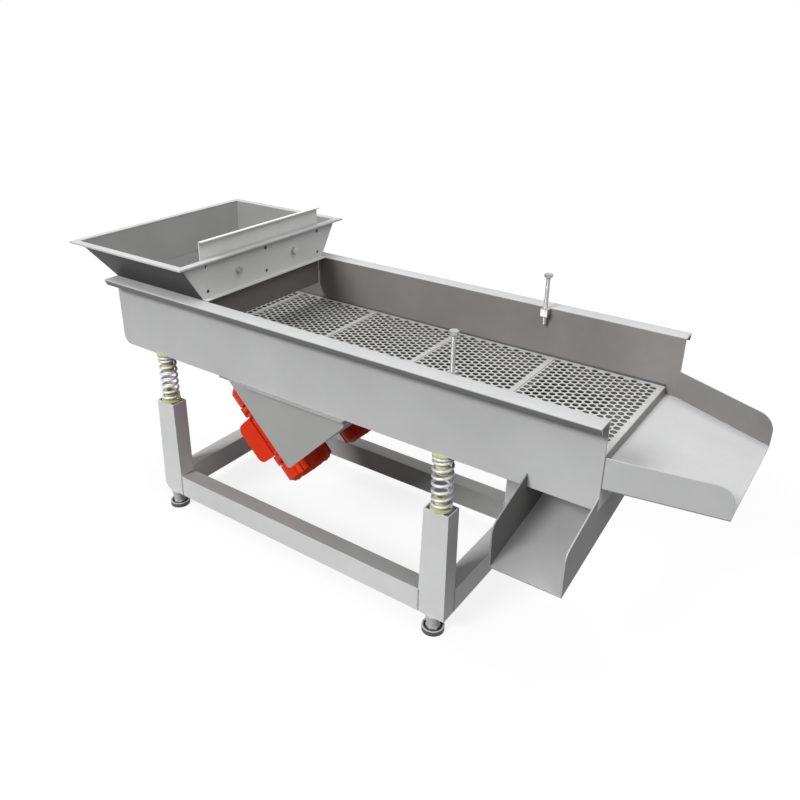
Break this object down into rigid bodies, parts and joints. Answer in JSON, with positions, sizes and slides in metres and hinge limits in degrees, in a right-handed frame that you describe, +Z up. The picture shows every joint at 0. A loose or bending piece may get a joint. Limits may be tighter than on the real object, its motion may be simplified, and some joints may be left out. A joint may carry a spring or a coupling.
{
  "type": "linear vibrating screen",
  "caption": "Linear vibrating screen: perforated deck in a sheet-steel trough on coil springs, feed hopper with gate, twin vibration motors and two discharge chutes.",
  "frame": {"origin": "on the floor, at the centre of the machine's footprint box", "axes": "+X from the feed hopper to the discharge end, +Y to the side away from the fines chute, +Z up"},
  "size_m": [1.819, 0.74, 0.9],
  "materials": {
    "grey_paint": "satin",
    "deck_plate": "satin",
    "motor_red": "gloss",
    "spring_wire": "polished",
    "spring_seat": "matt",
    "bright_steel": "zinc plated",
    "foot_dark": "matt"
  },
  "bodies": {
    "base": {"cross_rail_discharge": "grey_paint", "cross_rail_feed": "grey_paint", "foot_far_discharge": "foot_dark", "foot_far_feed": "foot_dark", "foot_near_discharge": "foot_dark", "foot_near_feed": "foot_dark", "leg_far_discharge": "grey_paint", "leg_far_feed": "grey_paint", "leg_near_discharge": "grey_paint", "leg_near_feed": "grey_paint", "lower_seat_far_discharge": "spring_seat", "lower_seat_far_feed": "spring_seat", "lower_seat_near_discharge": "spring_seat", "lower_seat_near_feed": "spring_seat", "rail_far": "grey_paint", "rail_near": "grey_paint", "spring_far_discharge": "spring_wire", "spring_far_feed": "spring_wire", "spring_near_discharge": "spring_wire", "spring_near_feed": "spring_wire"},
    "trough": {"bottom_pan": "grey_paint", "deck_cross_bar_1": "grey_paint", "deck_cross_bar_2": "grey_paint", "deck_cross_bar_3": "grey_paint", "deck_cross_bar_4": "grey_paint", "discharge_end_plate": "grey_paint", "fines_chute": "grey_paint", "gate_stud_far": "bright_steel", "gate_stud_near": "bright_steel", "hopper_back_wall": "grey_paint", "hopper_far_wall": "grey_paint", "hopper_front_wall": "grey_paint", "hopper_near_wall": "grey_paint", "hopper_rim": "grey_paint", "motor_bracket": "grey_paint", "oversize_chute": "grey_paint", "screen_deck": "deck_plate", "side_plate_far": "grey_paint", "side_plate_near": "grey_paint", "side_screw_far": "bright_steel", "side_screw_near": "bright_steel", "upper_seat_far_discharge": "spring_seat", "upper_seat_far_feed": "spring_seat", "upper_seat_near_discharge": "spring_seat", "upper_seat_near_feed": "spring_seat", "vibration_motor_far": "motor_red", "vibration_motor_near": "motor_red"},
    "gate": {"gate_plate": "grey_paint"}
  },
  "joints": [
    {"name": "trough_throw", "type": "slide", "parent": "base", "child": "trough", "axis": [0.7071, 0, 0.7071], "range_m": [-0.005, 0.005], "stiffness_N_per_m": 60000, "springref_m": 0.0191, "deforming": ["spring_far_discharge", "spring_far_feed", "spring_near_discharge", "spring_near_feed"]},
    {"name": "gate_lift", "type": "slide", "parent": "trough", "child": "gate", "axis": [0, 0, 1], "range_m": [-0.03, 0.045]}
  ]
}
